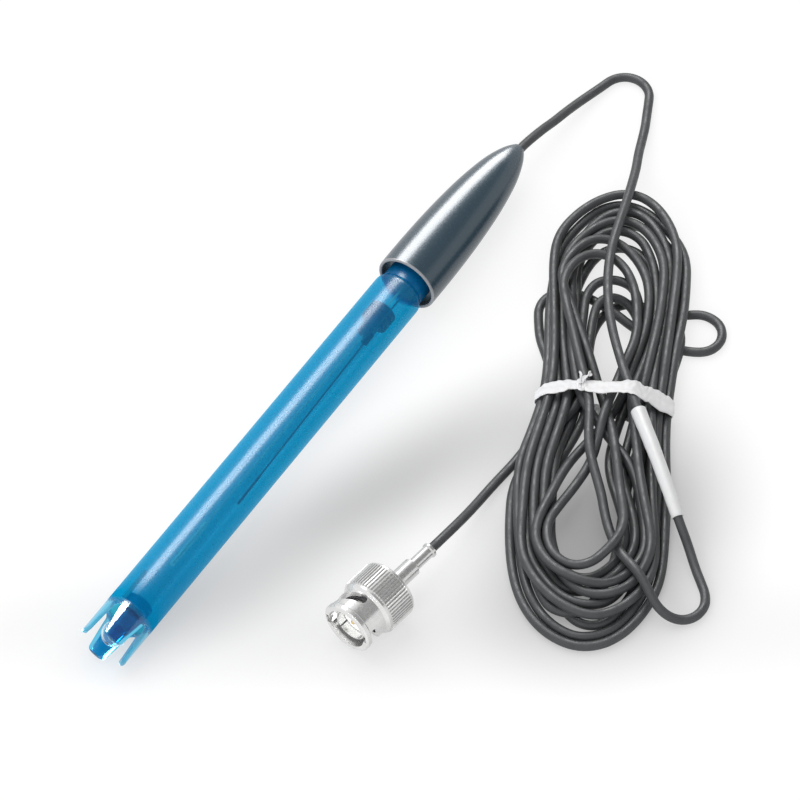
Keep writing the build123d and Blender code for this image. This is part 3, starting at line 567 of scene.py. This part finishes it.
def material(name, color, rough, vary=0.12, grain=600.0, bump=0.05, rough_vary=0.08, **sockets):
    """A surface with mottled colour and roughness and a fine bump; other sockets are set as given."""
    made = bpy.data.materials.new(name)
    made.use_nodes = True
    nodes, links = made.node_tree.nodes, made.node_tree.links
    shader = nodes["Principled BSDF"]
    place = nodes.new("ShaderNodeTexCoord").outputs["Object"]

    def mottle(scale, detail):
        pattern = nodes.new("ShaderNodeTexNoise")
        pattern.inputs["Scale"].default_value = scale
        pattern.inputs["Detail"].default_value = detail
        links.new(place, pattern.inputs["Vector"])
        return pattern.outputs["Fac"]

    def ranged(value, low, high):
        scaled = nodes.new("ShaderNodeMapRange")
        scaled.inputs["From Min"].default_value = NOISE_LOW
        scaled.inputs["From Max"].default_value = NOISE_HIGH
        scaled.inputs["To Min"].default_value = low
        scaled.inputs["To Max"].default_value = high
        links.new(value, scaled.inputs["Value"])
        return scaled.outputs["Result"]

    ramp = nodes.new("ShaderNodeValToRGB")
    ramp.color_ramp.elements[0].position = NOISE_LOW
    ramp.color_ramp.elements[1].position = NOISE_HIGH
    ramp.color_ramp.elements[0].color = (*(c * (1 - vary) for c in color), 1)
    ramp.color_ramp.elements[1].color = (*(min(c * (1 + vary), 1) for c in color), 1)
    links.new(mottle(grain, 4), ramp.inputs["Fac"])
    links.new(ramp.outputs["Color"], shader.inputs["Base Color"])
    roughness = ranged(mottle(grain * 2.3, 3), max(rough - rough_vary, 0.01), rough + rough_vary)
    links.new(roughness, shader.inputs["Roughness"])
    relief = nodes.new("ShaderNodeBump")
    relief.inputs["Strength"].default_value = bump
    relief.inputs["Distance"].default_value = 0.05 * MM
    links.new(mottle(BUMP_GRAIN, 3), relief.inputs["Height"])
    links.new(relief.outputs["Normal"], shader.inputs["Normal"])
    for socket, value in sockets.items():
        shader.inputs[socket.replace("_", " ")].default_value = value
    return made


def clear(made, tint, share, inner_r, level, crown_color):
    """Lets a share of the light straight through a body of the electrode, tinted at its outer skin alone.

    Skins nearer to the axis than inner_r are all but unseen, and in the crown the light bends as in glass. The level
    is that of the shine along the body, which ends before the crown."""
    nodes, links = made.node_tree.nodes, made.node_tree.links
    shader = nodes["Principled BSDF"]
    place = nodes.new("ShaderNodeSeparateXYZ")
    links.new(nodes.new("ShaderNodeTexCoord").outputs["Object"], place.inputs["Vector"])

    def reckon(operation, first, second, third=0.0):
        node = nodes.new("ShaderNodeMath")
        node.operation = operation
        for socket, value in zip(node.inputs, (first, second, third)):
            if isinstance(value, (int, float)):
                socket.default_value = value
            else:
                links.new(value, socket)
        return node.outputs["Value"]

    def step(value, start, end):
        node = nodes.new("ShaderNodeMapRange")
        node.inputs["From Min"].default_value = start
        node.inputs["From Max"].default_value = end
        links.new(value, node.inputs["Value"])
        return node.outputs["Result"]

    def blend(factor, first, second):
        node = nodes.new("ShaderNodeMix")
        node.data_type = "RGBA"
        links.new(factor, node.inputs["Factor"])
        for socket, value in (("A", first), ("B", second)):
            if isinstance(value, tuple):
                node.inputs[socket].default_value = (*value, 1)
            else:
                links.new(value, node.inputs[socket])
        return node.outputs["Result"]

    axis_z = reckon("MULTIPLY_ADD", place.outputs["X"], AXIS_SLOPE, AXIS_HEIGHT)
    up = reckon("SUBTRACT", place.outputs["Z"], axis_z)
    squares = reckon("ADD", reckon("MULTIPLY", up, up), reckon("MULTIPLY", place.outputs["Y"], place.outputs["Y"]))
    below_neck = step(place.outputs["X"], NECK_FROM + NECK_FADE, NECK_FROM)
    inside = reckon("MULTIPLY", step(reckon("SQRT", squares, 0.0), inner_r, inner_r - SKIN_FADE), below_neck)
    crown = step(place.outputs["X"], CROWN_FROM, CROWN_FROM - CROWN_FADE)
    body = reckon("SUBTRACT", 1.0, crown)
    shine = reckon("MULTIPLY", step(place.outputs["X"], SHINE_FROM, SHINE_TO), level)
    links.new(reckon("MULTIPLY_ADD", crown, CROWN_SHINE, shine), shader.inputs["Specular IOR Level"])
    rough = shader.inputs["Roughness"].links[0].from_socket
    links.new(reckon("MULTIPLY_ADD", body, rough, CROWN_ROUGH), shader.inputs["Roughness"])
    through = nodes.new("ShaderNodeBsdfTransparent")
    tinted = blend(inside, tint, (1.0, 1.0, 1.0))
    in_shadow = nodes.new("ShaderNodeLightPath").outputs["Is Shadow Ray"]
    links.new(blend(in_shadow, tinted, IN_SHADOW), through.inputs["Color"])
    links.new(crown, shader.inputs["Transmission Weight"])
    color = shader.inputs["Base Color"].links[0].from_socket
    links.new(blend(crown, color, crown_color), shader.inputs["Base Color"])
    mix = nodes.new("ShaderNodeMixShader")
    links.new(reckon("MULTIPLY", body, reckon("MULTIPLY_ADD", inside, UNSEEN - share, share)), mix.inputs["Fac"])
    links.new(shader.outputs["BSDF"], mix.inputs[1])
    links.new(through.outputs["BSDF"], mix.inputs[2])
    links.new(mix.outputs["Shader"], nodes["Material Output"].inputs["Surface"])
    return made


MATERIALS = {
    "tube": clear(
        material("clear_blue", (0.002, 0.215, 0.53), 0.25, vary=0.02, bump=0.0015, rough_vary=0.01, IOR=1.6),
        (0.10, 0.82, 1.0), 0.55, 5.4 * MM, 0.2, (0.006, 0.26, 0.57),
    ),
    "glass": clear(
        material("blown_glass", (0.55, 0.80, 0.90), 0.05, vary=0.03, bump=0.01, rough_vary=0.02, IOR=1.5),
        (0.96, 0.99, 1.0), 0.9, 0.5 * MM, 0.0, (0.72, 0.90, 0.97),
    ),
    "rubber": material("dark_rubber", (0.012, 0.014, 0.016), 0.5),
    "ceramic": material("porous_ceramic", (0.72, 0.70, 0.64), 0.8, bump=0.3),
    "silver": material("silver_wire", (0.10, 0.10, 0.11), 0.35, Metallic=1.0),
    "resin": material("cast_resin", (0.03, 0.03, 0.035), 0.4),
    "cap": material("slate_cap", (0.024, 0.055, 0.080), 0.27, vary=0.03, bump=0.0015, rough_vary=0.015, IOR=1.6),
    "cable": material(
        "grey_jacket", (0.057, 0.060, 0.063), 0.48, vary=0.14, grain=260.0, rough_vary=0.14, Specular_IOR_Level=0.4,
    ),
    "sleeve": material("white_sleeve", (0.78, 0.785, 0.79), 0.36, vary=0.02, bump=0.02),
    "tie": material("white_strip", (0.90, 0.90, 0.91), 0.45, vary=0.02),
    "nickel": material("bright_nickel", (0.67, 0.67, 0.665), 0.21, vary=0.05, Metallic=0.88),
    "insulator": material("white_insulator", (0.82, 0.83, 0.81), 0.4, vary=0.03),
    "gilt": material("gold_plating", (0.80, 0.60, 0.28), 0.2, vary=0.06, Metallic=1.0),
    "gasket": material("grey_silicone", (0.09, 0.09, 0.095), 0.5),
    "spring": material("spring_steel", (0.45, 0.45, 0.46), 0.25, Metallic=1.0),
}


def painted_rim_highlight(made, color, start):
    """Paints a highlight on the end face of a piece: paler from a place along X."""
    nodes, links = made.node_tree.nodes, made.node_tree.links
    place = nodes.new("ShaderNodeSeparateXYZ")
    links.new(nodes.new("ShaderNodeTexCoord").outputs["Object"], place.inputs["Vector"])
    edge = nodes.new("ShaderNodeMapRange")
    edge.inputs["From Min"].default_value = start + RIM_FADE
    edge.inputs["From Max"].default_value = start
    links.new(place.outputs["X"], edge.inputs["Value"])
    blend = nodes.new("ShaderNodeMix")
    blend.data_type = "RGBA"
    base = nodes["Principled BSDF"].inputs["Base Color"]
    links.new(edge.outputs["Result"], blend.inputs["Factor"])
    links.new(base.links[0].from_socket, blend.inputs["A"])
    blend.inputs["B"].default_value = (*color, 1)
    links.new(blend.outputs["Result"], base)


# Painted highlight: a pale line painted on the end face of the cap's rim, where light glints on its edge.
painted_rim_highlight(MATERIALS["cap"], (0.30, 0.31, 0.33), RIM_AT)

# Nodes whose look differs from others of their slot: a seal seen pale blue, and the bright wire in the stem
OWN = {
    "stem_seal": material("pale_rubber", (0.03, 0.20, 0.34), 0.5),
    "inner_wire": material("bright_wire", (0.62, 0.62, 0.62), 0.35, Metallic=1.0),
}
# The nodes that hang on the cable's end
PLUG_NODES = (
    "coupling_nut", "connector_body", "outer_contact", "insulator", "centre_pin", "gasket", "thrust_washer",
    "retaining_ring", "crimp_ferrule",
)


def finish_nodes():
    """Gives every carried-over node the material of its slot in the record, or its own."""
    for part in frame["record"]["subparts"]:
        node = frame["nodes"][part["node"]]
        node.data.materials.clear()
        node.data.materials.append(MATERIALS[part["material_slot"]])
    for name, made in OWN.items():
        frame["nodes"][name].data.materials[0] = made


def flattening_spring():
    """The wave washer again, as a piece of its own, with its own mesh, in place of the hidden washer."""
    mesh = frame["nodes"]["wave_washer"].data.copy()
    piece = bpy.data.objects.new("wave_spring", mesh)
    bpy.context.collection.objects.link(piece)
    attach(piece, "root")
    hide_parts("wave_washer")
    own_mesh(piece)
    return piece


finish_nodes()
spring = flattening_spring()
for piece, slot in ((cable, "cable"), (sleeve, "sleeve"), *((piece, "tie") for piece in tie_pieces)):
    piece.data.materials.append(MATERIALS[slot])
    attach(piece, "root")
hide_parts("marker_sleeve")
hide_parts("twist_tie")
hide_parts("cord_lead", "cord_tail", "cord_hank")


# Floor, light and surroundings

FLOOR_HALF = 6.0
FLOOR_GLOW = 0.75
LIGHT_FROM_ALL_ROUND, BACKDROP = 0.55, 1.0  # the world's strength as it lights, and where it is seen
# Painted soft shadows on the floor: middle, turn, reach along and across, and depth
SHADES = (
    ((-0.0131, -0.0241), -0.349, (0.095, 0.0203), 0.43),
    ((0.0076, -0.0725), 0.149, (0.0533, 0.041), 0.61),
    ((-0.0419, -0.0470), -0.981, (0.160, 0.0251), 0.17),
)
CORNERS = ((-1, -1), (1, -1), (1, 1), (-1, 1))


def make_floor():
    mesh = bpy.data.meshes.new("floor")
    corners = [(x * FLOOR_HALF, y * FLOOR_HALF, 0) for x, y in CORNERS]
    mesh.from_pydata(corners, [], [(0, 1, 2, 3)])
    floor = bpy.data.objects.new("floor", mesh)
    bpy.context.collection.objects.link(floor)
    made = bpy.data.materials.new("floor")
    made.use_nodes = True
    nodes, links = made.node_tree.nodes, made.node_tree.links
    nodes.remove(nodes["Principled BSDF"])
    plain = nodes.new("ShaderNodeBsdfDiffuse")
    plain.inputs["Color"].default_value = (0.8, 0.8, 0.8, 1)
    shown = nodes.new("ShaderNodeBsdfDiffuse")
    shown.inputs["Color"].default_value = (0.30, 0.30, 0.30, 1)
    glow = nodes.new("ShaderNodeEmission")
    links.new(shade(nodes, links), glow.inputs["Strength"])
    both = nodes.new("ShaderNodeAddShader")
    links.new(shown.outputs["BSDF"], both.inputs[0])
    links.new(glow.outputs["Emission"], both.inputs[1])
    mix = nodes.new("ShaderNodeMixShader")
    links.new(seen_directly(nodes, links), mix.inputs["Fac"])
    links.new(plain.outputs["BSDF"], mix.inputs[1])
    links.new(both.outputs["Shader"], mix.inputs[2])
    links.new(mix.outputs["Shader"], nodes["Material Output"].inputs["Surface"])
    mesh.materials.append(made)


def shade(nodes, links):
    """The floor's brightness where it is seen, with painted shadows: it darkens softly beside the electrode and round
    the hank.
    """
    place = nodes.new("ShaderNodeTexCoord").outputs["Object"]
    value = None
    for middle, turn, reach, depth in SHADES:
        spot = nodes.new("ShaderNodeMapping")
        spot.vector_type = "TEXTURE"
        spot.inputs["Location"].default_value = (*middle, 0)
        spot.inputs["Rotation"].default_value = (0, 0, turn)
        spot.inputs["Scale"].default_value = (*reach, 1)
        links.new(place, spot.inputs["Vector"])
        round_off = nodes.new("ShaderNodeTexGradient")
        round_off.gradient_type = "SPHERICAL"
        links.new(spot.outputs["Vector"], round_off.inputs["Vector"])
        fade = nodes.new("ShaderNodeMapRange")
        fade.interpolation_type = "SMOOTHSTEP"
        fade.inputs["To Max"].default_value = depth
        links.new(round_off.outputs["Fac"], fade.inputs["Value"])
        less = nodes.new("ShaderNodeMath")
        less.operation = "SUBTRACT"
        less.inputs[0].default_value = FLOOR_GLOW
        if value is not None:
            links.new(value, less.inputs[0])
        links.new(fade.outputs["Result"], less.inputs[1])
        value = less.outputs["Value"]
    return value


def seen_directly(nodes, links):
    """1 for rays from the camera, from a mirror or through glass, otherwise 0."""
    path = nodes.new("ShaderNodeLightPath")
    value = path.outputs["Is Camera Ray"]
    for name in ("Is Glossy Ray", "Is Transmission Ray"):
        larger = nodes.new("ShaderNodeMath")
        larger.operation = "MAXIMUM"
        links.new(value, larger.inputs[0])
        links.new(path.outputs[name], larger.inputs[1])
        value = larger.outputs["Value"]
    return value


def make_world():
    world = bpy.data.worlds.new("studio")
    bpy.context.scene.world = world
    world.use_nodes = True
    nodes, links = world.node_tree.nodes, world.node_tree.links
    soft = nodes["Background"]
    soft.inputs["Color"].default_value = (1, 1, 1, 1)
    soft.inputs["Strength"].default_value = LIGHT_FROM_ALL_ROUND
    white = nodes.new("ShaderNodeBackground")
    white.inputs["Color"].default_value = (1, 1, 1, 1)
    white.inputs["Strength"].default_value = BACKDROP
    mix = nodes.new("ShaderNodeMixShader")
    links.new(seen_directly(nodes, links), mix.inputs["Fac"])
    links.new(soft.outputs["Background"], mix.inputs[1])
    links.new(white.outputs["Background"], mix.inputs[2])
    links.new(mix.outputs["Shader"], nodes["World Output"].inputs["Surface"])


def area_light(name, towards, distance, size, power, shine):
    """A soft box in a direction from the object, its long side as near as it can be to X.

    One that shines is only mirrored; another only lights."""
    data = bpy.data.lights.new(name, "AREA")
    data.shape = "RECTANGLE"
    data.size, data.size_y = size
    data.energy = power
    light = bpy.data.objects.new(name, data)
    bpy.context.collection.objects.link(light)
    back = Vector(towards).normalized()
    along = Vector((1, 0, 0))
    side = (along - back * back.dot(along)).normalized()
    turn = Matrix((side, back.cross(side), back)).transposed().to_4x4()
    light.matrix_world = Matrix.Translation(back * distance) @ turn
    light.visible_diffuse = not shine
    light.visible_glossy = shine
    light.visible_transmission = False
    return light


def shine_on(light, pieces):
    """Keeps a light to some pieces."""
    lit = bpy.data.collections.new(light.name + "_on")
    for piece in pieces:
        lit.objects.link(piece)
    light.light_linking.receiver_collection = lit


def dark_card(name, towards, distance, size, glow):
    """A card that only mirrors see, so that bright metal shows the dark room behind the camera."""
    back = Vector(towards).normalized()
    side = back.cross(Vector((0, 0, 1))).normalized()
    up = side.cross(back)
    corners = [back * distance + side * x * size[0] / 2 + up * y * size[1] / 2 for x, y in CORNERS]
    card = mesh_piece(name, corners, [(0, 1, 2, 3)], smooth=False)
    made = bpy.data.materials.new(name)
    made.use_nodes = True
    shader = made.node_tree.nodes["Principled BSDF"].inputs
    shader["Base Color"].default_value = (0.05, 0.05, 0.05, 1)
    shader["Emission Color"].default_value = (1, 1, 1, 1)
    shader["Emission Strength"].default_value = glow
    card.data.materials.append(made)
    card.visible_camera = False
    card.visible_diffuse = False
    card.visible_transmission = False
    card.visible_shadow = False


make_floor()
make_world()
nodes = frame["nodes"]
in_gap = [nodes[name] for name in ("gasket", "coupling_nut", "outer_contact", "connector_body")]
glinting = [nodes[name] for name in (*PLUG_NODES, "glass_stem")]
# Name, direction, distance, size, power, whether it is only mirrored, and the pieces that it is kept to
for *lamp, kept_to in (
    ("shine", (0.508, 0.301, 0.806), 0.9, (1.3, 0.42), 72.0, True, [nodes["body_tube"]]),
    ("cap_shine", (0.508, 0.60, 0.617), 0.9, (1.3, 0.50), 30.0, True, [nodes["cap"]]),
    ("cable_shine", (0.45, 0.45, 0.77), 0.9, (0.8, 0.5), 11.0, True, [cable, sleeve]),
    ("glint", (0.45, 0.55, 0.70), 0.9, (0.9, 0.30), 2.2, True, glinting),
    ("mouth", (-0.95, 0.05, 0.40), 0.6, (0.3, 0.3), 3.0, False, [nodes["insulator"]]),
    ("gap", (-0.95, 0.05, 0.40), 0.6, (0.3, 0.3), 6.0, False, in_gap),
    ("key", (0.30, 0.60, 0.85), 1.4, (1.5, 1.5), 10.0, False, None),
    ("side", (-0.90, -0.15, 0.35), 1.0, (0.5, 0.5), 4.0, False, None),
):
    light = area_light(*lamp)
    if kept_to:
        shine_on(light, kept_to)
dark_card("card", (0.46, -0.42, 0.79), 1.5, (2.0, 1.2), 0.24)
for name in ("body_tube", "centre_pin"):  # else their blue and gold show in the nickel
    nodes[name].visible_glossy = False
